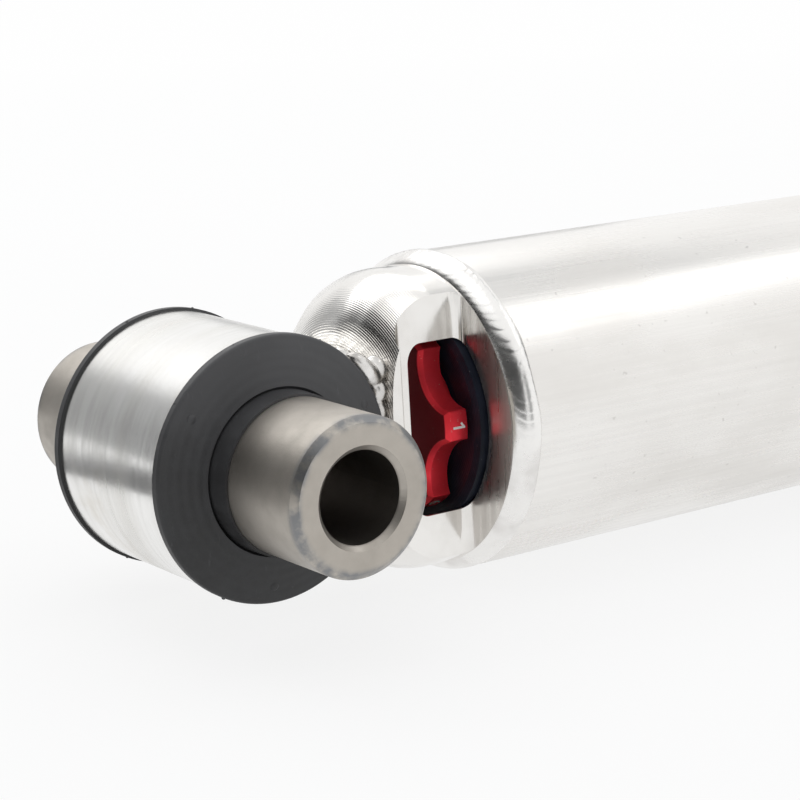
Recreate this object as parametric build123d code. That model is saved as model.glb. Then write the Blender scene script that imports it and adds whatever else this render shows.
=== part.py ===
from build123d import *
import os
from math import asin, cos, hypot, radians, sin, sqrt

# A twin-tube gas shock absorber with a base adjuster, lying on its side at full extension.
# Millimetres. Origin at the centre of the lower eye, +X along the shock towards the rod,
# Y along the bolt through the lower eye, +Z up.

os.makedirs("parts", exist_ok=True)

# Clearances
running_gap = 0.03          # radial, shaft in bush, band in tube, sleeve in rubber
slip_gap = 0.02             # radial, parts that are pushed together and stay
end_gap = 0.3               # between faces that meet only at the end of a travel

# Eyes, rubber bushes and bolt sleeves, the same at both ends
eye_od = 41.2
eye_wall = 3.4
eye_width = 28.8
sleeve_od = 24.6
sleeve_length = 77.4
sleeve_chamfer = 1.0
bolt_hole_d = 14.2
bolt_countersink = 0.85
flange_overhang = 0.45
flange_thickness = 1.5
flange_edge_radius = 0.6
flange_bulge = 1.6          # axial, the face stands out this much further at the sleeve
bush_collar_length = 4.0
bush_collar_wall = 0.5
bush_collar_taper = 0.15
bush_crease_depth = 0.5
bush_crease_width = 0.4
bush_middle_gap = 0.4

# Base cap, turned from bar and then milled on two sides
eye_to_cap = 2.5
neck_step = 1.8             # radial, the neck is this much smaller than the body tube
dome_radius = 10.7
land_depth = 10.1
land_length = 2.0
flat_depth = 12.45
pocket_length = 13.9
pocket_corner_radius = 2.4
pocket_cove_radius = 1.9
cavity_wall = 3.4
cavity_depth = 6.3          # radial, from the neck to the cavity's wall
cavity_corner_radius = 2.4
window_chamfer = 0.3
boss_side_inset = 2.5       # from the rim of the cap's flat end face
boss_top_inset = 3.5
shoulder_to_tube = 2.4
spigot_length = 12.0
spigot_wall = 2.9
cap_clocking = 2.8          # degrees the cap is turned from the eye, as it is welded on

# Weld beads
eye_bead_side_gap = 0.4
eye_bead_rise = 13.0
eye_bead_toe_angle = 48.0
eye_bead_bulge = 1.2
body_bead_crown = 0.3
body_bead_lap = 2.0

# Adjuster knob and what it turns
knob_side_gap = 3.1
knob_thickness = 4.1
knob_front_gap = 4.7
knob_chamfer = 0.75
lobe_count = 6
lobe_width = 5.0
lobe_edge_radius = 0.3
scallop_depth = 3.8
knob_hub_step = 1.5
knob_hub_length = 1.6
knob_rest_turn = 1.3        # degrees the first lobe stands past the middle of the flat
dimple_depth = 0.25
shaft_d = 8.0
shaft_flat = 1.0
shaft_tip_d = 4.4
shaft_tip_length = 8.0
shaft_shoulder_gap = 0.2
shaft_tail_length = 1.0
screw_recess = 0.2
screw_head_d = 5.6
screw_head_length = 2.0
screw_seat_thickness = 0.8
screw_d = 3.0
screw_length = 6.0
screw_hole_spare = 1.0
screw_socket_d = 2.6
clip_thickness = 1.0
clip_d = 13.0
clip_groove_depth = 0.8
clip_slot_width = 5.6

# Adjuster plate, which closes the base and carries the knob
plate_boss_rim = 0.8
plate_rim_side_gap = 0.25
plate_rim_width = 1.65
plate_rim_gap = 0.5
plate_seat_depth = 1.0
plate_flange_thickness = 3.8
detent_circle_d = 17.0
detent_ball_d = 2.4
detent_count = 2
plunger_d = 4.0
plunger_length = 6.0

# O-rings: the depth of each groove is the thickness of its ring
shaft_ring_section = 1.5
plate_ring_section = 1.8
guide_ring_section = 1.8
ring_groove_slack = 0.4

# Base valve
foot_leg_length = 9.0
foot_leg_count = 4
foot_leg_width = 6.0
foot_leg_thickness = 4.0
foot_disc_thickness = 9.0
foot_flange_thickness = 3.0
port_count = 6
foot_outer_port_d = 3.0
foot_outer_port_inset = 4.5
foot_inner_port_d = 2.6
foot_inner_port_circle_d = 17.0
foot_bolt_d = 7.0
foot_bolt_head_d = 12.0
foot_bolt_head_length = 3.0
foot_nut_width = 12.0
foot_nut_length = 4.0
foot_shim_ds = (24.0, 20.0, 16.0)
foot_shim_thickness = 0.3
check_shim_side_gap = 2.0
check_shim_width = 5.0
check_shim_thickness = 0.4
check_spring_arm_width = 3.0
check_spring_inset = 1.0
check_spring_thickness = 0.5

# Tubes
body_od = 54.0
body_wall = 3.0
reserve_space = 4.0         # radial, between the tubes
pressure_wall = 2.0

# Piston and rod
stroke = 200.0
piston_clearance = 2.0
piston_length = 14.0
piston_gap = 0.25
piston_rim_width = 1.5
piston_recess_depth = 0.8
piston_port_d = 3.2
piston_port_inset = 5.75
piston_port_land = 0.4
piston_hub_wall = 3.0
band_thickness = 1.2
band_width = 8.0
rod_d = 18.0
rod_stud_d = 12.0
rod_chamfer = 1.0
piston_nut_width = 19.0
piston_nut_length = 8.0
rebound_shim_ds = (22.0, 26.0, 30.0)
piston_check_shim_ds = (30.0, 24.0)
piston_shim_thickness = 0.4
stop_washer_d = 22.0
stop_washer_thickness = 2.0
stop_ring_offset = 2.8
stop_ring_side_gap = 3.5
stop_ring_length = 4.0
stop_ring_seat = 0.6
bumper_side_gap = 2.5
bumper_length = 10.0

# Rod guide and head of the body
guide_spigot_length = 6.0
guide_bush_length = 12.0
guide_bush_wall = 1.6
guide_bush_inset = 2.0
guide_web = 2.0
seal_section = 6.0
seal_length = 8.0
seal_wall = 2.4
seal_lip_length = 3.0
end_cap_thread_length = 8.0
end_cap_flange_length = 3.0
end_cap_flange_step = 0.5
end_cap_chamfer = 1.0
spanner_hole_d = 4.5
spanner_hole_depth = 3.0
spanner_hole_inset = 7.0
spanner_hole_count = 4
wiper_section = 4.0
wiper_length = 5.0
rod_relief = 1.0            # radial, round the rod in the guide and the end cap
wiper_lip_length = 1.8
wiper_lip_wall = 1.4

# Gas cell between the tubes
gas_cell_start = 45.0
gas_cell_length = 170.0
gas_cell_opening = 30.0     # degrees left open where the cell's two edges meet
gas_cell_gap = 0.3

# Bump stop and upper eye
bump_stop_d = 38.0
bump_stop_tip_d = 30.0
bump_stop_length = 24.0
bump_stop_waist = 2.5
bump_cup_d = 42.0
bump_cup_thickness = 2.0
bump_cup_lip = 3.0
shank_side_step = 1.4
shank_flat_depth = 2.0
shank_flats_length = 9.0
shank_blend_radius = 2.5
stud_d = 14.0
stud_length = 18.0
stud_hole_spare = 1.5
stud_end_wall = 2.5

# Radii that follow from the sizes above
eye_r = eye_od / 2
eye_bore_r = eye_r - eye_wall
sleeve_r = sleeve_od / 2
body_r = body_od / 2
body_bore_r = body_r - body_wall
neck_r = body_r - neck_step
flat_y = neck_r - flat_depth
land_y = neck_r - land_depth
boss_width = 2 * (neck_r - dome_radius - boss_side_inset)
boss_height = 2 * (neck_r - dome_radius - boss_top_inset)
cavity_r = neck_r - cavity_depth
knob_r = cavity_r - knob_side_gap
knob_hub_r = knob_r - scallop_depth - knob_hub_step
plate_seat_r = body_bore_r - spigot_wall
pressure_r = body_bore_r - reserve_space
pressure_bore_r = pressure_r - pressure_wall
rod_r = rod_d / 2
seal_r = rod_r + seal_section
wiper_r = rod_r + wiper_section
shank_r = eye_width / 2 - shank_side_step
piston_r = pressure_bore_r - piston_gap
shaft_r = shaft_d / 2

# Places along the shock, from the lower eye to the upper one
cap_face_x = eye_r + eye_to_cap
pocket_x = cap_face_x + land_length
shoulder_x = pocket_x + pocket_length
cavity_x = pocket_x + cavity_wall
knob_x = cavity_x + knob_front_gap
knob_back_x = knob_x + knob_thickness
screw_seat_x = knob_x + screw_recess + screw_head_length
shaft_x = screw_seat_x + screw_seat_thickness
hub_back_x = knob_back_x + knob_hub_length
plate_boss_x = hub_back_x + end_gap
tube_start_x = shoulder_x + shoulder_to_tube
plate_seat_x = tube_start_x + plate_seat_depth
plate_back_x = plate_seat_x + plate_flange_thickness
cap_back_x = tube_start_x + spigot_length
foot_x = plate_back_x + foot_leg_length
foot_shoulder_x = foot_x + foot_flange_thickness
foot_back_x = foot_x + foot_disc_thickness
foot_bolt_head_x = foot_back_x + check_shim_thickness + check_spring_thickness
foot_end_x = foot_bolt_head_x + foot_bolt_head_length
piston_nut_x = foot_end_x + piston_clearance + stroke
rebound_shim_x = piston_nut_x + piston_nut_length
piston_x = rebound_shim_x + len(rebound_shim_ds) * piston_shim_thickness
piston_back_x = piston_x + piston_length
stop_washer_x = piston_back_x + len(piston_check_shim_ds) * piston_shim_thickness
rod_shoulder_x = stop_washer_x + stop_washer_thickness
stop_ring_x = rod_shoulder_x + stop_ring_offset
bumper_x = stop_ring_x + stop_ring_length
guide_x = bumper_x + bumper_length + end_gap
guide_shoulder_x = guide_x + guide_spigot_length
guide_bush_x = guide_x + guide_bush_inset
seal_x = guide_bush_x + guide_bush_length + guide_web
guide_back_x = seal_x + seal_length
body_end_x = guide_back_x + end_cap_thread_length
end_cap_x = body_end_x + end_cap_flange_length
wiper_tip_x = end_cap_x + wiper_lip_length
bump_stop_x = wiper_tip_x + end_gap + stroke
bump_cup_x = bump_stop_x + bump_stop_length
shank_x = bump_cup_x + bump_cup_thickness
upper_eye_x = shank_x + stud_length + stud_hole_spare + stud_end_wall + eye_bore_r


def turned(*points):
    """Revolve a closed outline of (x, radius) points about the shock's axis."""
    return revolve(make_face(Polyline(*points, close=True)), Axis.X)


def ring(x0, x1, outer_r, inner_r=0.0):
    """A plain ring or disc between two places along the shock."""
    return turned((x0, inner_r), (x1, inner_r), (x1, outer_r), (x0, outer_r))


def circle_edges(solid, x, radius):
    """The circular edges of a solid about the shock's axis at one place and radius."""
    near = 0.01
    edges = solid.edges().filter_by(GeomType.CIRCLE)
    return edges.filter_by(
        lambda e: abs(e.arc_center.X - x) < near and abs(e.radius - radius) < near
    )


def across(x):
    """A plane across the shock at x, its own x towards the viewer and its normal along +X."""
    return Plane(origin=(x, 0, 0), x_dir=(0, -1, 0), z_dir=(1, 0, 0))


def bores(x0, x1, diameter, circle_d, count, first_angle=0.0):
    """Round bores along the shock, evenly spaced on a circle about its axis."""
    holes = PolarLocations(circle_d / 2, count, start_angle=first_angle)
    sections = Sketch() + holes * Circle(diameter / 2)
    return extrude(across(x0) * sections, x1 - x0)


def post(x0, length, radius):
    """A plain cylinder along the shock's axis, from one place."""
    return Pos(X=x0 + length / 2) * Rot(Y=90) * Cylinder(radius, length)


def o_ring(x_middle, inner_r, section):
    """An O-ring that touches both the floor of its groove and the bore around it."""
    ring_section = Pos(x_middle, inner_r + section / 2) * Circle(section / 2)
    return revolve(ring_section, Axis.X)


def ring_groove(x_middle, floor_r, section, open_r):
    """The groove that an O-ring lies in, a little wider than the ring."""
    half = (section + ring_groove_slack) / 2
    return ring(x_middle - half, x_middle + half, open_r, floor_r)


def clocked(shape):
    """Turn a piece of the base about the shock's axis to where the cap is welded."""
    return Rot(X=-cap_clocking) * shape


def about_bolt(points):
    """Revolve a closed outline of (radius, y) points about the bolt's axis."""
    return revolve(make_face(Polyline(*points, close=True)), Axis.Y)


def bolt_cylinder(radius, width):
    """A cylinder along the bolt, centred on the shock's axis."""
    return Rot(X=90) * Cylinder(radius, width)


# Eyes, bushes and sleeves

def lower_eye_tube():
    return bolt_cylinder(eye_r, eye_width) - bolt_cylinder(eye_bore_r, 2 * eye_width)


def bush_half(side):
    """One rubber half: a barrel, a bulging flange over the eye's end and a collar up the sleeve."""
    inner = sleeve_r + running_gap
    outer = eye_bore_r - slip_gap
    flange_r = eye_r + flange_overhang
    face = eye_width / 2 + flange_thickness
    bulge = face + flange_bulge
    collar_r = inner + bush_collar_wall
    points = [
        (inner, bush_middle_gap / 2),
        (outer, bush_middle_gap / 2),
        (outer, eye_width / 2),
        (flange_r, eye_width / 2),
        (flange_r, face),
        (collar_r + bush_crease_width, bulge),
        (collar_r, bulge - bush_crease_depth),
        (collar_r - bush_collar_taper, bulge + bush_collar_length),
        (inner, bulge + bush_collar_length),
    ]
    outline = make_face(Polyline(*[(radius, side * y) for radius, y in points], close=True))
    rim = outline.vertices().sort_by_distance((flange_r, side * face, 0))[0]
    return revolve(fillet(rim, flange_edge_radius), Axis.Y)


def bolt_sleeve():
    half = sleeve_length / 2
    hole = bolt_hole_d / 2
    upper = [
        (hole, half - bolt_countersink),
        (hole + bolt_countersink, half),
        (sleeve_r - sleeve_chamfer, half),
        (sleeve_r, half - sleeve_chamfer),
    ]
    lower = [(radius, -y) for radius, y in reversed(upper)]
    return about_bolt(upper + lower)


def upper_eye():
    """Eye and shank in one piece, with the rod's stud screwed into the shank."""
    shank = ring(shank_x, upper_eye_x, shank_r)
    shank = chamfer(circle_edges(shank, shank_x, shank_r), rod_chamfer)
    flats = Box(shank_flats_length, eye_width, eye_width)
    flats -= Box(shank_flats_length, eye_width, 2 * (shank_r - shank_flat_depth))
    shank -= Pos(shank_x + rod_chamfer + shank_flats_length / 2, 0, 0) * flats
    eye = Pos(upper_eye_x, 0, 0) * bolt_cylinder(eye_r, eye_width)
    eye = eye + shank
    seam = eye.edges().filter_by(
        lambda e: e.geom_type not in (GeomType.LINE, GeomType.CIRCLE)
        and e.center().X > shank_x + rod_chamfer + shank_flats_length
    )
    eye = fillet(seam, shank_blend_radius)
    eye -= Pos(upper_eye_x, 0, 0) * bolt_cylinder(eye_bore_r, 2 * eye_width)
    return eye - ring(shank_x, shank_x + stud_length + stud_hole_spare, stud_d / 2)


# Base cap

def pocket_tool():
    """What one milling pass takes off the near side: a flat floor with coved edges."""
    reach = body_od
    floor = flat_y
    corner_z = sqrt(neck_r ** 2 - floor ** 2) + slip_gap
    corner = pocket_corner_radius
    wall_z = corner_z - corner
    bend = corner * (1 - cos(radians(45)))
    outline = Polyline(
        (pocket_x + corner, corner_z),
        (pocket_x + corner, reach),
        (shoulder_x, reach),
        (shoulder_x, -reach),
        (pocket_x + corner, -reach),
        (pocket_x + corner, -corner_z),
    )
    lower_bend = ThreePointArc(
        (pocket_x + corner, -corner_z), (pocket_x + bend, -corner_z + bend), (pocket_x, -wall_z)
    )
    wall = Line((pocket_x, -wall_z), (pocket_x, wall_z))
    upper_bend = ThreePointArc(
        (pocket_x, wall_z), (pocket_x + bend, corner_z - bend), (pocket_x + corner, corner_z)
    )
    face = make_face([outline, lower_bend, wall, upper_bend])
    mill_plane = Plane(origin=(0, -floor, 0), x_dir=(1, 0, 0), z_dir=(0, -1, 0))
    tool = extrude(mill_plane * face, reach)
    coved = tool.edges().filter_by(
        lambda e: abs(e.center().Y + floor) < 0.01
        and abs(e.center().Z) < corner_z
        and not (pocket_x + corner + 0.01 < e.center().X < shoulder_x - 0.01)
    )
    return fillet(coved, pocket_cove_radius)


def base_cap():
    seat_r = plate_seat_r + slip_gap
    blank = make_face(
        Polyline(
            (cap_face_x, 0),
            (cap_face_x, neck_r),
            (tube_start_x, neck_r),
            (tube_start_x, body_bore_r - slip_gap),
            (cap_back_x, body_bore_r - slip_gap),
            (cap_back_x, seat_r),
            (plate_seat_x, seat_r),
            (plate_seat_x, cavity_r),
            (cavity_x, cavity_r),
            (cavity_x, 0),
            close=True,
        )
    )
    dome = blank.vertices().sort_by_distance((cap_face_x, neck_r, 0))[0]
    blank = fillet(dome, dome_radius)
    floor = blank.vertices().sort_by_distance((cavity_x, cavity_r, 0))[0]
    blank = fillet(floor, cavity_corner_radius)
    cap = revolve(blank, Axis.X)
    boss_length = cap_face_x
    cap += Pos(boss_length / 2, 0, 0) * Box(boss_length, boss_width, boss_height)
    near_pocket = pocket_tool()
    land = Box(land_length + eye_to_cap, body_od, body_od)
    land = Pos(pocket_x - (land_length + eye_to_cap) / 2, -land_y - body_r, 0) * land
    for tool in (near_pocket, land):
        cap -= tool
        cap -= Rot(X=180) * tool
    window_edges = cap.edges().filter_by(
        lambda e: abs(abs(e.center().Y) - flat_y) < 0.05
        and abs(e.center().Z) < cavity_r
        and cavity_x < e.center().X < shoulder_x - pocket_cove_radius
        and hypot(e.center().Y, e.center().Z) < cavity_r + 0.05
    )
    cap = chamfer(window_edges, window_chamfer)
    return clocked(cap) - bolt_cylinder(eye_r, 2 * eye_width)


def eye_weld():
    """The bead that runs round the cap's boss and closes it to the eye tube."""
    toe = radians(eye_bead_toe_angle)
    toe_point = (eye_r * cos(toe), eye_r * sin(toe))
    face_point = (cap_face_x, eye_bead_rise)
    middle = ((toe_point[0] + face_point[0]) / 2, (toe_point[1] + face_point[1]) / 2)
    span = (face_point[0] - toe_point[0], face_point[1] - toe_point[1])
    length = sqrt(span[0] ** 2 + span[1] ** 2)
    crown = (
        middle[0] - span[1] / length * eye_bead_bulge,
        middle[1] + span[0] / length * eye_bead_bulge,
    )
    top = ThreePointArc(toe_point, crown, face_point)
    front = Line(face_point, (face_point[0], -face_point[1]))
    mirrored = [(toe_point[0], -toe_point[1]), (crown[0], -crown[1]), (face_point[0], -face_point[1])]
    bottom = ThreePointArc(*mirrored)
    back = Line(mirrored[0], toe_point)
    width = eye_width - 2 * eye_bead_side_gap
    side = Plane(origin=(0, width / 2, 0), x_dir=(1, 0, 0), z_dir=(0, -1, 0))
    bead = extrude(side * make_face([top, front, bottom, back]), width)
    boss = Pos(cap_face_x / 2, 0, 0) * Box(cap_face_x, boss_width, boss_height)
    return bead - bolt_cylinder(eye_r, 2 * eye_width) - clocked(boss)


def body_weld():
    """The bead in the step between the cap's neck and the body tube, lapping onto the tube."""
    toe_x = shoulder_x + slip_gap
    end_x = tube_start_x + body_bead_lap
    crown = (tube_start_x + body_bead_lap / 4, body_r + body_bead_crown)
    surface = ThreePointArc((toe_x, neck_r), crown, (end_x, body_r))
    seat = Polyline((end_x, body_r), (tube_start_x, body_r), (tube_start_x, neck_r), (toe_x, neck_r))
    return revolve(make_face([surface, seat]), Axis.X)


# Adjuster

def knob_outline():
    """Lobes between deep round scallops."""
    half_lobe = asin(lobe_width / 2 / knob_r)
    half_valley = radians(180 / lobe_count) - half_lobe
    half_chord = knob_r * sin(half_valley)
    sagitta = knob_r * cos(half_valley) - (knob_r - scallop_depth)
    scallop_r = (half_chord ** 2 + sagitta ** 2) / (2 * sagitta)
    circle_r = knob_r - scallop_depth + scallop_r
    valleys = PolarLocations(circle_r, lobe_count, start_angle=180 / lobe_count)
    return Circle(knob_r) - valleys * Circle(scallop_r)


def adjuster_knob():
    body = extrude(across(knob_x) * knob_outline(), knob_thickness)
    front = body.faces().sort_by(Axis.X)[0]
    body = chamfer(front.outer_wire().edges(), knob_chamfer)
    body = fillet(body.edges().filter_by(Axis.X), lobe_edge_radius)
    body += ring(knob_back_x, hub_back_x, knob_hub_r)
    dimple = Pos(hub_back_x + detent_ball_d / 2 - dimple_depth, 0, 0) * Sphere(detent_ball_d / 2)
    for turn in range(lobe_count):
        place = Rot(X=turn * 360 / lobe_count) * Pos(0, -detent_circle_d / 2, 0)
        body -= place * dimple
    body -= ring(knob_x, screw_seat_x, screw_head_d / 2 + running_gap)
    body -= ring(screw_seat_x, shaft_x, screw_d / 2 + running_gap)
    body -= flatted_shaft(shaft_x, hub_back_x, shaft_r + slip_gap, shaft_flat)
    return Rot(X=-knob_rest_turn) * body


def flatted_shaft(x0, x1, radius, flat_depth):
    """A round shaft with two flats that a knob can't slip on."""
    shaft = ring(x0, x1, radius)
    half = radius - flat_depth
    return shaft & Pos((x0 + x1) / 2, 0, 0) * Box(x1 - x0, 2 * radius, 2 * half)


def clip_x():
    return plate_back_x + shaft_shoulder_gap


def adjuster_shaft():
    """Carries the knob, turns in the plate, and meters oil with its tip in the hollow bolt."""
    tip_x = clip_x() + clip_thickness + shaft_tail_length
    ring_middle = (plate_boss_x + plate_seat_x) / 2
    shaft = flatted_shaft(shaft_x, hub_back_x, shaft_r, shaft_flat)
    shaft += ring(hub_back_x, tip_x, shaft_r)
    shaft += ring(tip_x, foot_x + shaft_tip_length / 2, shaft_tip_d / 2)
    shaft -= ring_groove(ring_middle, shaft_r - shaft_ring_section, shaft_ring_section, shaft_d)
    shaft -= ring(clip_x(), clip_x() + clip_thickness, shaft_d, shaft_r - clip_groove_depth)
    shaft -= ring(shaft_x, screw_seat_x + screw_length + screw_hole_spare, screw_d / 2)
    return Rot(X=-knob_rest_turn) * shaft


def shaft_o_ring():
    ring_middle = (plate_boss_x + plate_seat_x) / 2
    inner = shaft_r - shaft_ring_section
    return o_ring(ring_middle, inner, shaft_ring_section)


def shaft_clip():
    """An E-clip in the shaft's groove, open on one side."""
    clip = ring(clip_x(), clip_x() + clip_thickness, clip_d / 2, shaft_r - clip_groove_depth)
    mouth = Box(clip_thickness, clip_d, clip_slot_width)
    return clip - Pos(clip_x() + clip_thickness / 2, clip_d / 2, 0) * mouth


def knob_screw():
    """A socket-head screw, sunk in the knob, that holds it on its shaft."""
    head_x = knob_x + screw_recess
    screw = ring(head_x, screw_seat_x, screw_head_d / 2)
    screw += ring(screw_seat_x, screw_seat_x + screw_length, screw_d / 2)
    socket = RegularPolygon(screw_socket_d / 2, 6)
    return screw - extrude(across(head_x) * socket, screw_head_length / 2)


def adjuster_plate():
    """Seats in the cap behind the knob, dished in front from a narrow rim to a flat centre."""
    rim_x = knob_back_x + plate_rim_gap
    rim_r = cavity_r - plate_rim_side_gap
    rim_inner_r = rim_r - plate_rim_width
    boss_r = knob_hub_r + plate_boss_rim
    bore_r = shaft_r + running_gap
    plate = turned(
        (plate_boss_x, bore_r),
        (plate_boss_x, boss_r),
        (rim_x, rim_inner_r),
        (rim_x, rim_r),
        (plate_seat_x, rim_r),
        (plate_seat_x, plate_seat_r),
        (plate_back_x, plate_seat_r),
        (plate_back_x, bore_r),
    )
    groove_middle = (plate_seat_x + plate_back_x) / 2
    floor_r = plate_seat_r + slip_gap - plate_ring_section
    plate -= ring_groove(groove_middle, floor_r, plate_ring_section, body_od)
    for place in detent_places():
        plate -= place * post(plate_boss_x, plunger_length, plunger_d / 2)
    return plate


def plate_o_ring():
    floor_r = plate_seat_r + slip_gap - plate_ring_section
    return o_ring((plate_seat_x + plate_back_x) / 2, floor_r, plate_ring_section)


def ball_x():
    return plate_boss_x - end_gap + running_gap + detent_ball_d / 2


def detent_places():
    """Where the detents stand on their circle, the first behind the lobe in the window."""
    first = Pos(0, -detent_circle_d / 2, 0)
    step = 360 / detent_count
    return [Rot(X=turn * step - knob_rest_turn) * first for turn in range(detent_count)]


def detent_plungers():
    """Push-in cartridges, each with a cup that its ball lies in."""
    cup_r = detent_ball_d / 2 + slip_gap
    cup = Pos(X=ball_x()) * Sphere(cup_r)
    mouth = post(ball_x() - detent_ball_d, detent_ball_d, cup_r)
    cartridge = post(plate_boss_x, plunger_length, plunger_d / 2 - slip_gap) - cup - mouth
    return [clocked(place * cartridge) for place in detent_places()]


def detent_balls():
    ball = Pos(X=ball_x()) * Sphere(detent_ball_d / 2)
    return [clocked(place * ball) for place in detent_places()]


# Base valve

def base_valve_body():
    """A ported disc on four legs, which the pressure tube stands on."""
    disc = ring(foot_x, foot_shoulder_x, pressure_r)
    disc += ring(foot_shoulder_x, foot_back_x, pressure_bore_r - slip_gap)
    leg = ring(plate_back_x, foot_x, pressure_r, pressure_r - foot_leg_thickness)
    leg &= Pos((plate_back_x + foot_x) / 2, -pressure_r, 0) * Box(
        foot_leg_length, pressure_r, foot_leg_width
    )
    for turn in range(foot_leg_count):
        disc += Rot(X=turn * 360 / foot_leg_count) * leg
    outer_circle_d = 2 * (pressure_bore_r - foot_outer_port_inset)
    disc -= bores(foot_x, foot_back_x, foot_outer_port_d, outer_circle_d, port_count)
    disc -= bores(
        foot_x, foot_back_x, foot_inner_port_d, foot_inner_port_circle_d, port_count, 180 / port_count
    )
    return disc - ring(foot_x, foot_back_x, foot_bolt_d / 2 + slip_gap)


def stack_x():
    """The free side of the compression shims, where the nut clamps them."""
    return foot_x - len(foot_shim_ds) * foot_shim_thickness


def base_valve_bolt():
    """A hollow bolt: oil bleeds through it past the adjuster shaft's tip."""
    bolt = ring(stack_x() - foot_nut_length, foot_bolt_head_x, foot_bolt_d / 2)
    head = RegularPolygon(foot_bolt_head_d / 2, 6)
    bolt += extrude(across(foot_bolt_head_x) * head, foot_bolt_head_length)
    return bolt - ring(stack_x() - foot_nut_length, foot_end_x, shaft_tip_d / 2 + running_gap)


def base_valve_nut():
    hexagon = RegularPolygon(foot_nut_width / 2, 6)
    nut = extrude(across(stack_x() - foot_nut_length) * hexagon, foot_nut_length)
    return nut - ring(stack_x() - foot_nut_length, stack_x(), foot_bolt_d / 2 + slip_gap)


def shim_stack(x0, diameters, thickness, bore_r):
    """Thin discs lying face to face, each a solid of its own."""
    shims = []
    for index, diameter in enumerate(diameters):
        start = x0 + index * thickness
        shims.append(ring(start, start + thickness, diameter / 2, bore_r))
    return shims


def base_compression_shims():
    smallest_first = sorted(foot_shim_ds)
    return shim_stack(stack_x(), smallest_first, foot_shim_thickness, foot_bolt_d / 2 + slip_gap)


def check_shim():
    """The refill valve: a flat ring that lifts off the outer ports."""
    end = foot_back_x + check_shim_thickness
    outer = pressure_bore_r - check_shim_side_gap
    return ring(foot_back_x, end, outer, outer - check_shim_width)


def check_spring():
    """A star washer under the bolt's head, its arms resting on the check shim."""
    start = foot_back_x + check_shim_thickness
    end = start + check_spring_thickness
    spring = ring(start, end, foot_bolt_head_d / 2)
    reach = pressure_bore_r - check_shim_side_gap - check_spring_inset
    arm = Pos((start + end) / 2, -reach / 2, 0) * Box(check_spring_thickness, reach, check_spring_arm_width)
    for turn in range(port_count):
        spring += Rot(X=turn * 360 / port_count) * arm
    spring -= ring(start, end, foot_bolt_d / 2 + slip_gap)
    return spring + ring(foot_back_x, start, foot_bolt_head_d / 2, foot_bolt_d / 2 + slip_gap)


# Tubes and head

def body_tube():
    return ring(tube_start_x, body_end_x, body_r, body_bore_r)


def pressure_tube():
    return ring(foot_shoulder_x, guide_shoulder_x, pressure_r, pressure_bore_r)


def gas_cell():
    """A flat bag of gas curled round the pressure tube, open where its edges meet."""
    inner = pressure_r + gas_cell_gap
    outer = body_bore_r - gas_cell_gap
    start = foot_back_x + gas_cell_start
    section = Pos(0, inner) * Rectangle(gas_cell_length, outer - inner, align=(Align.MIN, Align.MIN))
    section = fillet(section.vertices(), (outer - inner) * 0.45)
    cell = revolve(Pos(start, 0) * section, Axis.X, revolution_arc=360 - gas_cell_opening)
    return Rot(X=90 + gas_cell_opening / 2) * cell


def rod_guide():
    """Centres the pressure tube in the body and carries the rod's bush and seal."""
    bush_r = rod_r + running_gap + guide_bush_wall
    bush_end = guide_bush_x + guide_bush_length
    guide = turned(
        (guide_x, bush_r),
        (guide_x, pressure_bore_r - slip_gap),
        (guide_shoulder_x, pressure_bore_r - slip_gap),
        (guide_shoulder_x, body_bore_r - slip_gap),
        (guide_back_x, body_bore_r - slip_gap),
        (guide_back_x, seal_r + slip_gap),
        (seal_x, seal_r + slip_gap),
        (seal_x, rod_r + rod_relief),
        (bush_end, rod_r + rod_relief),
        (bush_end, bush_r),
    )
    floor_r = body_bore_r - guide_ring_section
    middle = (guide_shoulder_x + guide_back_x) / 2
    return guide - ring_groove(middle, floor_r, guide_ring_section, body_od)


def guide_o_ring():
    middle = (guide_shoulder_x + guide_back_x) / 2
    return o_ring(middle, body_bore_r - guide_ring_section, guide_ring_section)


def guide_bush():
    inner = rod_r + running_gap
    outer = inner + guide_bush_wall - slip_gap
    return ring(guide_bush_x, guide_bush_x + guide_bush_length, outer, inner)


def rod_seal():
    """A cup seal, its inner lip on the rod and its outer wall in the guide."""
    inner = rod_r + running_gap
    outer = seal_r
    web = seal_x + seal_lip_length
    return turned(
        (seal_x, inner),
        (seal_x, inner + seal_wall),
        (web, inner + seal_wall),
        (web, outer - seal_wall),
        (seal_x, outer - seal_wall),
        (seal_x, outer),
        (guide_back_x, outer),
        (guide_back_x, inner),
    )


def end_cap():
    """Screwed into the body over the guide, with holes for a pin spanner."""
    seat_x = end_cap_x - wiper_length
    flange_r = body_r - end_cap_flange_step
    cap = turned(
        (guide_back_x, rod_r + rod_relief),
        (guide_back_x, body_bore_r - slip_gap),
        (body_end_x, body_bore_r - slip_gap),
        (body_end_x, flange_r),
        (end_cap_x - end_cap_chamfer, flange_r),
        (end_cap_x, flange_r - end_cap_chamfer),
        (end_cap_x, wiper_r + slip_gap),
        (seat_x, wiper_r + slip_gap),
        (seat_x, rod_r + rod_relief),
    )
    circle_d = 2 * (flange_r - spanner_hole_inset)
    holes_x = end_cap_x - spanner_hole_depth
    return cap - bores(holes_x, end_cap_x, spanner_hole_d, circle_d, spanner_hole_count)


def rod_wiper():
    """A rubber ring in the end cap, with a lip that scrapes the rod."""
    seat_x = end_cap_x - wiper_length
    inner = rod_r + running_gap
    return turned(
        (seat_x, inner),
        (seat_x, wiper_r),
        (end_cap_x, wiper_r),
        (end_cap_x, inner + 2 * wiper_lip_wall),
        (wiper_tip_x, inner + wiper_lip_wall / 2),
        (wiper_tip_x, inner),
    )


# Piston and rod

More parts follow.
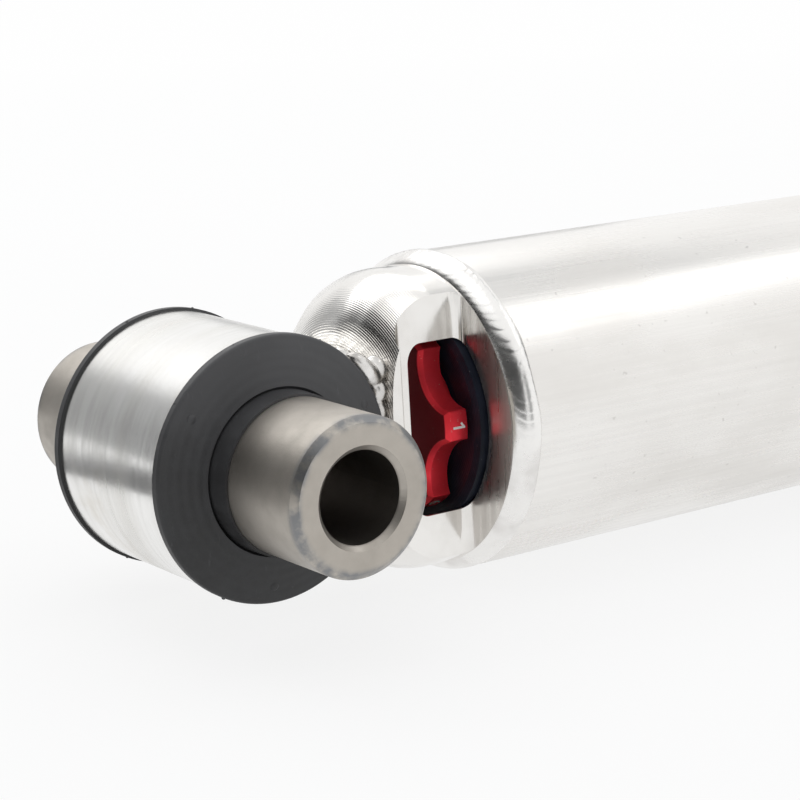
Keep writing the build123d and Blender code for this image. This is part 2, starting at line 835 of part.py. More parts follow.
def piston():
    """A ported disc with a recessed face on each side and a wide groove for its band."""
    rim_r = piston_r - piston_rim_width
    hub_r = rod_stud_d / 2 + piston_hub_wall
    port_circle_r = piston_r - piston_port_inset
    recess_r = port_circle_r + piston_port_d / 2 + piston_port_land
    disc = ring(piston_x, piston_back_x, piston_r)
    for face_x, depth in ((piston_x, piston_recess_depth), (piston_back_x, -piston_recess_depth)):
        low, high = sorted((face_x, face_x + depth))
        disc -= ring(low, high, min(rim_r, recess_r), hub_r)
    disc -= bores(piston_x, piston_back_x, piston_port_d, 2 * port_circle_r, port_count)
    middle = (piston_x + piston_back_x) / 2
    floor_r = pressure_bore_r - running_gap - band_thickness - running_gap
    disc -= ring(middle - band_width / 2, middle + band_width / 2, body_r, floor_r)
    return disc - ring(piston_x, piston_back_x, rod_stud_d / 2 + slip_gap)


def piston_band():
    """The low-friction band that runs in the pressure tube."""
    middle = (piston_x + piston_back_x) / 2
    half = band_width / 2 - running_gap
    outer = pressure_bore_r - running_gap
    return ring(middle - half, middle + half, outer, outer - band_thickness)


def rebound_shims():
    return shim_stack(
        rebound_shim_x, rebound_shim_ds, piston_shim_thickness, rod_stud_d / 2 + slip_gap
    )


def piston_check_shims():
    return shim_stack(
        piston_back_x, piston_check_shim_ds, piston_shim_thickness, rod_stud_d / 2 + slip_gap
    )


def stop_washer():
    return ring(stop_washer_x, rod_shoulder_x, stop_washer_d / 2, rod_stud_d / 2 + slip_gap)


def piston_nut():
    nut = extrude(across(piston_nut_x) * RegularPolygon(piston_nut_width / 2, 6), piston_nut_length)
    return nut - ring(piston_nut_x, rebound_shim_x, rod_stud_d / 2 + slip_gap)


def rebound_stop_ring():
    return ring(stop_ring_x, bumper_x, pressure_bore_r - stop_ring_side_gap, rod_r - stop_ring_seat)


def rebound_bumper():
    """A rubber ring that meets the guide at full extension."""
    outer = pressure_bore_r - bumper_side_gap
    edge = bumper_length / 5
    return turned(
        (bumper_x, rod_r + slip_gap),
        (bumper_x, outer),
        (bumper_x + bumper_length - edge, outer),
        (bumper_x + bumper_length, outer - edge),
        (bumper_x + bumper_length, rod_r + slip_gap),
    )


def rod():
    """Hard-chromed rod, stepped down to a stud at each end."""
    stud_end = shank_x + stud_length
    return turned(
        (piston_nut_x, 0),
        (piston_nut_x, rod_stud_d / 2 - rod_chamfer),
        (piston_nut_x + rod_chamfer, rod_stud_d / 2),
        (rod_shoulder_x, rod_stud_d / 2),
        (rod_shoulder_x, rod_r),
        (stop_ring_x, rod_r),
        (stop_ring_x, rod_r - stop_ring_seat),
        (bumper_x, rod_r - stop_ring_seat),
        (bumper_x, rod_r),
        (shank_x, rod_r),
        (shank_x, stud_d / 2),
        (stud_end - rod_chamfer, stud_d / 2),
        (stud_end, stud_d / 2 - rod_chamfer),
        (stud_end, 0),
    )


def bump_stop():
    """A foam rubber cone on the rod, with a waist that lets it fold as it closes."""
    inner = rod_r + running_gap
    tip_r = bump_stop_tip_d / 2
    full_r = bump_stop_d / 2
    third = bump_stop_length / 3
    outline = make_face(
        Polyline(
            (bump_stop_x, inner),
            (bump_stop_x, tip_r),
            (bump_stop_x + third, tip_r + (full_r - tip_r) / 2),
            (bump_stop_x + 1.5 * third, full_r - bump_stop_waist),
            (bump_stop_x + 2 * third, full_r),
            (bump_cup_x, full_r),
            (bump_cup_x, inner),
            close=True,
        )
    )
    rounded = outline.vertices().filter_by(
        lambda v: bump_stop_x < v.X < bump_cup_x - 0.01 or (v.X < bump_stop_x + 0.01 and v.Y > inner + 0.01)
    )
    return revolve(fillet(rounded, bump_stop_length / 24), Axis.X)


def bump_cup():
    """A pressed steel cup between the bump stop and the eye's shank."""
    outer = bump_cup_d / 2
    lip_inner = outer - bump_cup_thickness / 2
    return turned(
        (shank_x, rod_r + slip_gap),
        (shank_x, outer),
        (bump_cup_x - bump_cup_lip, outer),
        (bump_cup_x - bump_cup_lip, lip_inner),
        (bump_cup_x, lip_inner),
        (bump_cup_x, rod_r + slip_gap),
    )


near, far = -1, 1
pieces = {
    "lower_eye_tube": lower_eye_tube(),
    "lower_bush_near": bush_half(near),
    "lower_bush_far": bush_half(far),
    "lower_sleeve": bolt_sleeve(),
    "base_cap": base_cap(),
    "eye_weld": eye_weld(),
    "body_weld": body_weld(),
    "adjuster_knob": clocked(adjuster_knob()),
    "knob_screw": clocked(knob_screw()),
    "adjuster_shaft": clocked(adjuster_shaft()),
    "shaft_o_ring": shaft_o_ring(),
    "shaft_clip": shaft_clip(),
    "adjuster_plate": clocked(adjuster_plate()),
    "plate_o_ring": plate_o_ring(),
    "base_valve_body": base_valve_body(),
    "base_valve_bolt": base_valve_bolt(),
    "base_valve_nut": base_valve_nut(),
    "check_shim": check_shim(),
    "check_spring": check_spring(),
    "body_tube": body_tube(),
    "pressure_tube": pressure_tube(),
    "gas_cell": gas_cell(),
    "rod_guide": rod_guide(),
    "guide_bush": guide_bush(),
    "guide_o_ring": guide_o_ring(),
    "rod_seal": rod_seal(),
    "end_cap": end_cap(),
    "rod_wiper": rod_wiper(),
    "piston": piston(),
    "piston_band": piston_band(),
    "stop_washer": stop_washer(),
    "piston_nut": piston_nut(),
    "rebound_stop_ring": rebound_stop_ring(),
    "rebound_bumper": rebound_bumper(),
    "rod": rod(),
    "bump_stop": bump_stop(),
    "bump_cup": bump_cup(),
    "upper_eye": upper_eye(),
    "upper_bush_near": Pos(upper_eye_x, 0, 0) * bush_half(near),
    "upper_bush_far": Pos(upper_eye_x, 0, 0) * bush_half(far),
    "upper_sleeve": Pos(upper_eye_x, 0, 0) * bolt_sleeve(),
}

groups = {
    "detent_plunger": detent_plungers(),
    "detent_ball": detent_balls(),
    "base_shim": base_compression_shims(),
    "rebound_shim": rebound_shims(),
    "piston_check_shim": piston_check_shims(),
}
for name, members in groups.items():
    for number, member in enumerate(members, start=1):
        pieces[f"{name}_{number}"] = member

for name, shape in pieces.items():
    export_step(shape, f"parts/{name}.step")

print("eye to eye", round(upper_eye_x, 3), "closed", round(upper_eye_x - stroke, 3))
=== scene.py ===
import math
import random

import bmesh
import bpy
from mathutils import Euler, Matrix, Vector


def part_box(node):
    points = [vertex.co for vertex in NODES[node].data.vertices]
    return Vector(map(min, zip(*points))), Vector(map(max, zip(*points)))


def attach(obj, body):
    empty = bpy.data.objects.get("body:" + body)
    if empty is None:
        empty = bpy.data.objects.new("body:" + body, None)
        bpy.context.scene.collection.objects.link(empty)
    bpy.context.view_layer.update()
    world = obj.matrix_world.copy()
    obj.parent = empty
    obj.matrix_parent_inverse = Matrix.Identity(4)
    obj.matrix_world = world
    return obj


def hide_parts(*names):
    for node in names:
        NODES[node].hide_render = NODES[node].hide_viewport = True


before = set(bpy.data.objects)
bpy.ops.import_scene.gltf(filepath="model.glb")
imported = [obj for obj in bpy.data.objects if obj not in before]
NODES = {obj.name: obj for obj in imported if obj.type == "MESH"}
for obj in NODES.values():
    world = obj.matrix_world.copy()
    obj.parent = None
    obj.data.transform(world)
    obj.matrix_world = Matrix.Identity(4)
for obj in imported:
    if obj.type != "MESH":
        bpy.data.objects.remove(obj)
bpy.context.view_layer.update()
scene = bpy.context.scene
MM = 0.001
X, Y = 0, 1


def start_of(node, axis):
    """Where a node's box starts along an axis, in millimetres."""
    return round(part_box(node)[0][axis] / MM, 3)


def end_of(node, axis):
    """Where a node's box ends along an axis, in millimetres."""
    return round(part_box(node)[1][axis] / MM, 3)


# Sizes of the solids that the pieces and patterns here lie on, read from the frame, in millimetres
EYE_HALF = end_of("lower_eye_tube", Y)
SLEEVE_R = end_of("lower_sleeve", X)
SLEEVE_HALF = end_of("lower_sleeve", Y)
FLANGE_R = end_of("lower_bush_near", X)
CAP_FACE_X = end_of("eye_weld", X)
NECK_R = end_of("base_cap", Y)
BODY_R = end_of("body_tube", Y)
WELD_TOE_X = start_of("body_weld", X)
TUBE_START_X = start_of("body_tube", X)
KNOB_X = start_of("adjuster_knob", X)
upper_low, upper_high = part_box("upper_sleeve")
UPPER_X = (upper_low.x + upper_high.x) / 2 / MM

# Sizes that no box gives, in millimetres and radians
BORE_R = 7.1
FLANGE_FACE = 15.9
DOME_R = 10.7
FLAT_Y = 12.75
SHOULDER_X = 39.0
CAVITY_X = 28.5
CAVITY_R = 18.9
KNOB_R = 15.8
KNOB_THICKNESS = 4.1
KNOB_CHAMFER = 0.75
CLOCKING = math.radians(2.8)        # how far the cap is turned from the eye
KNOB_TURN = math.radians(1.3)       # how far the first lobe stands past the flat


# Material helper

class Shader:
    """A node tree with one Principled shader, built up with short calls. Its coordinates are in metres."""

    def __init__(self, name):
        self.material = bpy.data.materials.new(name)
        self.material.use_nodes = True
        self.tree = self.material.node_tree
        self.tree.nodes.clear()
        self.bsdf = self.add("ShaderNodeBsdfPrincipled")
        self.output = self.add("ShaderNodeOutputMaterial")
        self.put(self.output.inputs[0], self.bsdf.outputs[0])
        self.place = self.add("ShaderNodeTexCoord").outputs["Object"]
        split = self.add("ShaderNodeSeparateXYZ")
        self.put(split.inputs[0], self.place)
        self.x, self.y, self.z = split.outputs

    def add(self, kind, **settings):
        node = self.tree.nodes.new(kind)
        for key, value in settings.items():
            setattr(node, key, value)
        return node

    def put(self, socket, value):
        """Links a socket to another one, or sets it to a number or a colour."""
        if isinstance(value, bpy.types.NodeSocket):
            self.tree.links.new(value, socket)
        elif socket.type == "RGBA":
            socket.default_value = (*value, 1)
        else:
            socket.default_value = value

    def math(self, operation, a, b=0.0, clamp=False):
        node = self.add("ShaderNodeMath", operation=operation, use_clamp=clamp)
        self.put(node.inputs[0], a)
        self.put(node.inputs[1], b)
        return node.outputs[0]

    def plus(self, a, b):
        return self.math("ADD", a, b)

    def minus(self, a, b):
        return self.math("SUBTRACT", a, b)

    def times(self, a, b):
        return self.math("MULTIPLY", a, b)

    def radius(self, a, b):
        return self.math("SQRT", self.plus(self.times(a, a), self.times(b, b)))

    def waves(self, value, pitch):
        """A sine of a length, with its pitch in millimetres."""
        return self.math("SINE", self.times(value, 2 * math.pi / (pitch * MM)))

    def stretched(self, sx, sy, sz):
        """The place with its axes scaled. A larger number makes a pattern finer along that axis."""
        node = self.add("ShaderNodeVectorMath", operation="MULTIPLY")
        self.put(node.inputs[0], self.place)
        node.inputs[1].default_value = (sx, sy, sz)
        return node.outputs[0]

    def noise(self, vector, scale=1.0, detail=2.0, roughness=0.5):
        node = self.add("ShaderNodeTexNoise")
        self.put(node.inputs["Vector"], vector)
        node.inputs["Scale"].default_value = scale
        node.inputs["Detail"].default_value = detail
        node.inputs["Roughness"].default_value = roughness
        return node.outputs["Fac"]

    def span(self, value, low, high, to_low=0.0, to_high=1.0, smooth=False):
        """A value that goes from to_low to to_high while the given one goes from low to high."""
        node = self.add("ShaderNodeMapRange", interpolation_type="SMOOTHSTEP" if smooth else "LINEAR")
        self.put(node.inputs["Value"], value)
        for key, number in (("From Min", low), ("From Max", high), ("To Min", to_low), ("To Max", to_high)):
            self.put(node.inputs[key], number)
        return node.outputs["Result"]

    def vary(self, noise, to_low=0.0, to_high=1.0):
        """A value that goes from to_low to to_high over the usual range of a noise."""
        return self.span(noise, 0.3, 0.7, to_low, to_high)

    def above(self, value, low, high):
        """0 below the first length and 1 past the second, both in millimetres."""
        return self.span(value, low * MM, high * MM)

    def below(self, value, low, high):
        """1 below the first length and 0 past the second, both in millimetres."""
        return self.span(value, low * MM, high * MM, 1.0, 0.0)

    def mix(self, factor, a, b):
        node = self.add("ShaderNodeMix", data_type="RGBA")
        self.put(node.inputs["Factor"], factor)
        for socket, colour in zip([s for s in node.inputs if s.type == "RGBA"], (a, b)):
            self.put(socket, colour)
        return next(s for s in node.outputs if s.type == "RGBA")

    def stain(self, tone, mask, strength, colour):
        """The tone with a colour laid over it where the mask is, at most as strong as given."""
        return self.mix(self.times(mask, strength), tone, colour)

    def bump(self, height, distance, strength=1.0, normal=None):
        """A normal bent by a height, with the distance of its relief in millimetres."""
        node = self.add("ShaderNodeBump")
        self.put(node.inputs["Height"], height)
        node.inputs["Distance"].default_value = distance * MM
        node.inputs["Strength"].default_value = strength
        if normal is not None:
            self.put(node.inputs["Normal"], normal)
        return node.outputs["Normal"]

    def finish(self, colour, roughness, metallic=0.0, normal=None, **constants):
        self.put(self.bsdf.inputs["Base Color"], colour)
        self.put(self.bsdf.inputs["Roughness"], roughness)
        self.put(self.bsdf.inputs["Metallic"], metallic)
        if normal is not None:
            self.put(self.bsdf.inputs["Normal"], normal)
        for key, value in constants.items():
            self.put(self.bsdf.inputs[key.replace("_", " ")], value)
        return self.material


# Materials

def drawn_tube():
    """Drawn aluminium: faint lines along the shock and large soft smears from handling."""
    s = Shader("drawn_aluminium_tube")
    lines = s.noise(s.stretched(14, 1500, 1500), detail=3, roughness=0.6)
    fine_lines = s.noise(s.stretched(90, 5200, 5200), detail=2)
    smear = s.noise(s.stretched(26, 60, 60), detail=5, roughness=0.55)
    waviness = s.noise(s.stretched(18, 30, 30), detail=1)
    specks = s.span(s.noise(s.place, scale=900, detail=1), 0.73, 0.80)
    tone = s.mix(s.span(smear, 0.35, 0.72, smooth=True), (0.885, 0.87, 0.845), (0.81, 0.79, 0.76))
    tone = s.stain(tone, s.span(lines, 0.4, 0.75), 0.12, (0.66, 0.64, 0.62))
    tone = s.stain(tone, specks, 0.35, (0.45, 0.43, 0.41))
    rough = s.plus(s.vary(smear, 0.20, 0.33), s.vary(lines, -0.04, 0.05))
    normal = s.bump(s.plus(lines, s.times(fine_lines, 0.4)), 0.010)
    normal = s.bump(waviness, 0.3, 0.2, normal)
    return s.finish(tone, rough, 1.0, normal)


def turned_faces(s, r):
    """1 on the cap's dome and flat end face, which were turned, and 0 in its milled pockets."""
    back = s.math("MAXIMUM", s.minus((CAP_FACE_X + DOME_R) * MM, s.x), 0.0)
    reach = s.minus((DOME_R * MM) ** 2, s.times(back, back))
    dome = s.plus((NECK_R - DOME_R) * MM, s.math("SQRT", s.math("MAXIMUM", reach, 0.0)))
    off_dome = s.math("ABSOLUTE", s.minus(r, dome))
    on_face = s.below(s.x, CAP_FACE_X + 0.02, CAP_FACE_X + 0.10)
    return s.math("MAXIMUM", s.below(off_dome, 0.10, 0.22), on_face)


def cavity_walls(s, r):
    """1 on the walls of the knob's cavity behind the windows, where painted shade goes, and 0 on the cap's
    outside.
    """
    across = s.plus(s.times(s.y, math.cos(CLOCKING)), s.times(s.z, -math.sin(CLOCKING)))
    inside = s.times(s.below(r, CAVITY_R + 0.08, CAVITY_R + 0.15),
                     s.above(s.x, CAVITY_X - 0.2, CAVITY_X - 0.1))
    inside = s.times(inside, s.below(s.x, SHOULDER_X - 0.3, SHOULDER_X - 0.2))
    return s.times(inside, s.below(s.math("ABSOLUTE", across), FLAT_Y - 0.20, FLAT_Y - 0.10))


def turned_cap():
    """Base cap: turning marks on the dome and end face, smoother milled pockets, painted shade on the cavity
    walls.
    """
    s = Shader("turned_aluminium_cap")
    r = s.radius(s.y, s.z)
    turned = turned_faces(s, r)
    cavity = cavity_walls(s, r)
    wobble = s.times(s.noise(s.stretched(60, 60, 60)), 0.02 * MM)
    marks = s.waves(s.plus(s.plus(r, s.x), wobble), pitch=0.48)
    marks = s.math("POWER", s.span(marks, -1.0, 1.0), 2.5)
    fade = s.span(s.x, (CAVITY_X + 1) * MM, (CAVITY_X + 5) * MM, 1.0, 0.12, smooth=True)
    marks = s.times(s.times(marks, turned), fade)
    smear = s.noise(s.stretched(70, 70, 70), detail=4, roughness=0.6)
    milled = s.times(s.noise(s.stretched(2600, 400, 160), detail=2), s.minus(1.0, turned))
    dents = s.span(s.noise(s.place, scale=420, detail=2), 0.70, 0.76)
    streaks = s.noise(s.stretched(60, 900, 60), detail=3)
    shoulder = s.times(s.above(s.x, SHOULDER_X - 0.2, SHOULDER_X - 0.1), streaks)
    tone = s.mix(s.span(smear, 0.35, 0.7, smooth=True), (0.87, 0.855, 0.83), (0.78, 0.76, 0.73))
    tone = s.stain(tone, dents, 0.3, (0.5, 0.48, 0.46))
    # Painted shade: the cavity walls behind the windows are darkened in colour.
    tone = s.stain(tone, cavity, 0.4, (0.10, 0.095, 0.09))
    tone = s.stain(tone, shoulder, 0.5, (0.42, 0.38, 0.35))
    rough = s.plus(s.vary(smear, 0.10, 0.19), s.times(cavity, 0.2))
    rough = s.plus(rough, s.times(shoulder, 0.3))
    normal = s.bump(marks, 0.018)
    normal = s.bump(milled, 0.005, 1.0, normal)
    normal = s.bump(smear, 0.2, 0.12, normal)
    return s.finish(tone, rough, 1.0, normal)


def polished_ring():
    """Eye tube: rubbed round its circumference, with broad soft streaks, dulled beside the lower weld."""
    s = Shader("rubbed_aluminium_eye")
    streaks = s.noise(s.stretched(40, 900, 40), detail=4, roughness=0.6)
    bands = s.noise(s.stretched(16, 130, 16), detail=3)
    smear = s.noise(s.stretched(60, 60, 60), detail=5, roughness=0.6)
    heated = s.math("ADD", s.above(s.x, 12, 16), s.vary(smear, -0.15, 0.15), clamp=True)
    heated = s.times(heated, s.below(s.x, 30, 50))
    tone = s.mix(s.span(bands, 0.35, 0.7, smooth=True), (0.87, 0.865, 0.85), (0.77, 0.76, 0.73))
    tone = s.stain(tone, s.span(streaks, 0.45, 0.75), 0.25, (0.62, 0.61, 0.58))
    tone = s.stain(tone, s.span(smear, 0.56, 0.68), 0.25, (0.70, 0.63, 0.50))
    tone = s.stain(tone, heated, 0.85, (0.24, 0.225, 0.21))
    rough = s.plus(s.vary(bands, 0.18, 0.28), s.vary(streaks, -0.03, 0.04))
    rough = s.plus(rough, s.times(heated, 0.15))
    normal = s.bump(streaks, 0.012)
    normal = s.bump(smear, 0.25, 0.25, normal)
    return s.finish(tone, rough, 1.0, normal)


def weld_metal():
    """Weld bead: bright, with soot here and there, and more of it on the bead at the eye."""
    s = Shader("weld_bead_aluminium")
    cells = s.noise(s.stretched(500, 500, 500), detail=4, roughness=0.65)
    soot = s.noise(s.stretched(120, 120, 120), detail=3)
    at_eye = s.times(s.below(s.x, 30, 31), s.span(soot, 0.40, 0.60))
    tone = s.mix(s.span(soot, 0.45, 0.72, smooth=True), (0.90, 0.89, 0.87), (0.72, 0.70, 0.68))
    tone = s.stain(tone, at_eye, 0.55, (0.30, 0.28, 0.26))
    return s.finish(tone, s.vary(cells, 0.20, 0.30), 1.0, s.bump(cells, 0.04, 0.5))


def sleeve_steel():
    """Dull plated steel tube, mottled grey-brown, with dark scale at its end's outer edge and painted shade
    inside its hole.
    """
    s = Shader("plated_steel_sleeve")
    r = s.radius(s.x, s.z)
    from_middle = s.math("ABSOLUTE", s.y)
    grain = s.noise(s.place, scale=2600, detail=3, roughness=0.7)
    mottle = s.noise(s.place, scale=260, detail=5, roughness=0.6)
    broad = s.noise(s.place, scale=90, detail=3)
    edge = s.times(s.above(from_middle, SLEEVE_HALF - 1.9, SLEEVE_HALF - 0.7),
                   s.above(r, SLEEVE_R - 1.9, SLEEVE_R - 1.0))
    scale = s.times(edge, s.span(mottle, 0.36, 0.56))
    end_face = s.times(s.above(from_middle, SLEEVE_HALF - 0.15, SLEEVE_HALF - 0.05),
                       s.below(r, SLEEVE_R - 1.6, SLEEVE_R - 1.2))
    bore_shade = s.below(r, BORE_R, BORE_R + 0.2)
    tone = s.mix(s.vary(mottle), (0.50, 0.465, 0.42), (0.42, 0.39, 0.35))
    tone = s.stain(tone, s.span(broad, 0.4, 0.7), 0.4, (0.56, 0.525, 0.475))
    tone = s.stain(tone, scale, 0.85, (0.22, 0.23, 0.245))
    tone = s.stain(tone, end_face, 0.45, (0.45, 0.415, 0.37))
    # Painted shade: the inside of the hole is darkened in colour.
    tone = s.stain(tone, bore_shade, 0.6, (0.14, 0.12, 0.11))
    normal = s.bump(grain, 0.030, 0.8)
    normal = s.bump(mottle, 0.04, 0.4, normal)
    return s.finish(tone, s.vary(mottle, 0.36, 0.46), 0.95, normal)


def bush_rubber():
    """Moulded rubber: charcoal, faintly ringed, dusted and scuffed grey, with painted light making its upper
    half lighter.
    """
    s = Shader("moulded_bush_rubber")
    rings = s.waves(s.radius(s.x, s.z), pitch=1.6)
    dust = s.noise(s.place, scale=220, detail=6, roughness=0.7)
    cloud = s.noise(s.place, scale=60, detail=3)
    scuff = s.noise(s.stretched(900, 300, 240), detail=4, roughness=0.7)
    # Painted light: the upper half is lightened in colour, standing in for light from above.
    upper = s.plus(s.above(s.z, -4, 20), s.vary(cloud, -0.25, 0.25))
    tone = s.mix(s.span(dust, 0.42, 0.75), (0.018, 0.018, 0.019), (0.036, 0.037, 0.039))
    tone = s.stain(tone, upper, 0.8, (0.075, 0.075, 0.079))
    tone = s.stain(tone, s.span(scuff, 0.62, 0.74), 0.2, (0.15, 0.15, 0.16))
    normal = s.bump(rings, 0.03, 0.5)
    normal = s.bump(s.noise(s.place, scale=1300, detail=3), 0.04, 0.5, normal)
    return s.finish(tone, s.vary(dust, 0.40, 0.58), 0.0, normal, Specular_IOR_Level=0.5)


def red_anodised():
    """Satin red anodised knob with milled lines, bright specks, nicked rims and painted shade on its front
    face.
    """
    s = Shader("red_anodised_knob")
    r = s.radius(s.y, s.z)
    lines = s.noise(s.stretched(5200, 500, 500), detail=2)
    cloud = s.noise(s.place, scale=300, detail=3)
    specks = s.span(s.noise(s.place, scale=2300, detail=1), 0.74, 0.78)
    front = s.below(s.x, KNOB_X + 0.03, KNOB_X + 0.10)
    nicks = s.span(s.noise(s.place, scale=1500, detail=3), 0.63, 0.70)
    nicks = s.times(s.above(r, KNOB_R - 0.05, KNOB_R), nicks)
    tone = s.mix(s.vary(cloud), (1.0, 0.050, 0.075), (0.90, 0.034, 0.050))
    tone = s.stain(tone, specks, 0.5, (0.75, 0.52, 0.42))
    # Painted shade: the front face, which faces the dark end of the cavity, is darkened in colour.
    tone = s.stain(tone, front, 0.8, (0.10, 0.004, 0.008))
    tone = s.stain(tone, nicks, 0.35, (0.85, 0.35, 0.33))
    return s.finish(tone, s.vary(cloud, 0.32, 0.42), 0.72, s.bump(lines, 0.010, 0.9))


def black_anodised(name, ring_pitch):
    """Black anodised turned face with fine rings, their pitch in millimetres, and a little dust."""
    s = Shader(name)
    rings = s.waves(s.plus(s.radius(s.y, s.z), s.x), ring_pitch)
    cloud = s.noise(s.place, scale=240, detail=4)
    dust = s.span(s.noise(s.place, scale=1900, detail=1), 0.74, 0.79)
    tone = s.mix(s.vary(cloud), (0.009, 0.011, 0.017), (0.017, 0.020, 0.032))
    tone = s.stain(tone, dust, 0.35, (0.30, 0.29, 0.28))
    return s.finish(tone, s.vary(cloud, 0.36, 0.48), 0.0, s.bump(rings, 0.009, 0.8), Specular_IOR_Level=0.12)


def ground_chrome():
    """Hard chrome: near mirror with ground lines round the rod."""
    s = Shader("ground_chrome_rod")
    lines = s.noise(s.stretched(9000, 60, 60), detail=2)
    cloud = s.noise(s.stretched(40, 120, 120), detail=3)
    tone = s.mix(s.span(cloud, 0.35, 0.7), (0.80, 0.81, 0.83), (0.72, 0.73, 0.75))
    return s.finish(tone, s.vary(cloud, 0.06, 0.11), 1.0, s.bump(lines, 0.003, 0.7))


def machined(name, light, dark, roughness):
    """Turned or pressed metal with lines round the shock's axis."""
    s = Shader(name)
    lines = s.noise(s.stretched(4200, 260, 260), detail=3)
    cloud = s.noise(s.place, scale=160, detail=4)
    rough = s.vary(cloud, roughness - 0.05, roughness + 0.07)
    return s.finish(s.mix(s.vary(cloud), light, dark), rough, 1.0, s.bump(lines, 0.012, 0.8))


def moulded(name, light, dark, roughness, grain=900):
    """Plain moulded rubber or plastic with a fine grain."""
    s = Shader(name)
    cloud = s.noise(s.place, scale=180, detail=4, roughness=0.6)
    fine = s.noise(s.place, scale=grain, detail=3)
    rough = s.vary(cloud, roughness - 0.06, roughness + 0.08)
    return s.finish(s.mix(s.vary(cloud), light, dark), rough, 0.0, s.bump(fine, 0.05, 0.5))


def foam():
    """Closed-cell foam rubber: fine pits over a smooth skin, with painted shade in the pits."""
    s = Shader("cellular_bump_foam")
    cells = s.add("ShaderNodeTexVoronoi")
    s.put(cells.inputs["Vector"], s.place)
    s.put(cells.inputs["Scale"], 1500)
    pits = s.span(cells.outputs["Distance"], 0.0, 0.45)
    cloud = s.noise(s.place, scale=150, detail=4)
    tone = s.mix(s.vary(cloud), (0.62, 0.47, 0.17), (0.50, 0.36, 0.12))
    # Painted shade: the pits are darkened in colour towards their middles.
    tone = s.mix(s.span(pits, 0.0, 0.5, 0.5, 0.0), tone, (0.30, 0.20, 0.06))
    return s.finish(tone, s.vary(cloud, 0.55, 0.7), 0.0, s.bump(pits, 0.12, 0.6))


def number_ink():
    """White filled figures on the knob, a little uneven."""
    s = Shader("white_figure_ink")
    cloud = s.noise(s.place, scale=2500, detail=3)
    return s.finish(s.mix(s.vary(cloud), (0.82, 0.79, 0.77), (0.62, 0.56, 0.54)), 0.45)


def shifted(material, name, x):
    """A copy of a material with its pattern moved along the shock, to start at x."""
    copy = material.copy()
    copy.name = name
    tree = copy.node_tree
    place = next(n for n in tree.nodes if n.type == "TEX_COORD").outputs["Object"]
    move = tree.nodes.new("ShaderNodeVectorMath")
    move.operation = "SUBTRACT"
    move.inputs[1].default_value = (x * MM, 0, 0)
    for link in list(place.links):
        tree.links.new(move.outputs[0], link.to_socket)
    tree.links.new(place, move.inputs[0])
    return copy


def assign(material, *names):
    for name in names:
        materials = NODES[name].data.materials
        materials.clear()
        materials.append(material)


weld = weld_metal()
ink = number_ink()
foam_rubber = foam()
rubber = bush_rubber()
plated = sleeve_steel()
steel = machined("turned_steel", (0.58, 0.57, 0.56), (0.46, 0.45, 0.44), 0.30)
strip = machined("blued_strip_steel", (0.36, 0.40, 0.48), (0.26, 0.29, 0.36), 0.22)
cast = machined("cast_aluminium", (0.72, 0.71, 0.69), (0.62, 0.61, 0.59), 0.34)
bronze = machined("sintered_bronze", (0.62, 0.43, 0.20), (0.50, 0.34, 0.15), 0.38)
zinc = machined("zinc_plated_cup", (0.66, 0.66, 0.63), (0.56, 0.57, 0.52), 0.26)
seal = moulded("seal_rubber", (0.018, 0.018, 0.018), (0.035, 0.035, 0.036), 0.42)
band = moulded("filled_band_plastic", (0.20, 0.17, 0.12), (0.15, 0.13, 0.09), 0.5)
film = moulded("gas_cell_film", (0.70, 0.70, 0.71), (0.60, 0.60, 0.62), 0.35, grain=300)

assign(drawn_tube(), "body_tube")
assign(turned_cap(), "base_cap")
assign(polished_ring(), "lower_eye_tube", "upper_eye")
assign(weld, "eye_weld", "body_weld")
assign(plated, "lower_sleeve")
assign(shifted(plated, "plated_steel_sleeve_upper", UPPER_X), "upper_sleeve")
assign(rubber, "lower_bush_near", "lower_bush_far")
assign(shifted(rubber, "moulded_bush_rubber_upper", UPPER_X), "upper_bush_near", "upper_bush_far")
assign(red_anodised(), "adjuster_knob")
assign(black_anodised("black_anodised_plate", 0.42), "adjuster_plate")
assign(black_anodised("black_anodised_end_cap", 0.60), "end_cap")
assign(ground_chrome(), "rod")
assign(cast, "rod_guide", "piston", "base_valve_body")
assign(bronze, "guide_bush")
assign(zinc, "bump_cup")
assign(band, "piston_band")
assign(film, "gas_cell")
assign(foam_rubber, "bump_stop")
assign(seal, "shaft_o_ring", "plate_o_ring", "guide_o_ring", "rod_seal", "rod_wiper", "rebound_bumper")
assign(strip, "check_shim", "check_spring", "shaft_clip", *[name for name in NODES if "shim_" in name])
assign(steel, "pressure_tube", "adjuster_shaft", "knob_screw", "base_valve_bolt", "base_valve_nut",
       "piston_nut", "stop_washer", "rebound_stop_ring",
       *[name for name in NODES if name.startswith("detent_")])


# Pieces

def link(name, data):
    made = bpy.data.objects.new(name, data)
    scene.collection.objects.link(made)
    return made


def piece(name, mesh, material, body):
    """Puts a mesh into the scene as a smooth piece that rides on a body."""
    for polygon in mesh.polygons:
        polygon.use_smooth = True
    mesh.materials.clear()
    mesh.materials.append(material)
    made = link(name, mesh)
    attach(made, body)
    return made


def rings_mesh(name, verts, around):
    """A closed skin over rings of points in millimetres, each ring closed on itself, all the way round."""
    row = len(verts) // around
    faces = []
    for i in range(around):
        here, there = i * row, (i + 1) % around * row
        for j in range(row):
            after = (j + 1) % row
            faces.append((here + j, there + j, there + after, here + after))
    mesh = bpy.data.meshes.new(name)
    mesh.from_pydata([Vector(v) * MM for v in verts], [], faces)
    mesh.validate()
    skin = bmesh.new()
    skin.from_mesh(mesh)
    bmesh.ops.recalc_face_normals(skin, faces=skin.faces)
    skin.to_mesh(mesh)
    skin.free()
    return mesh


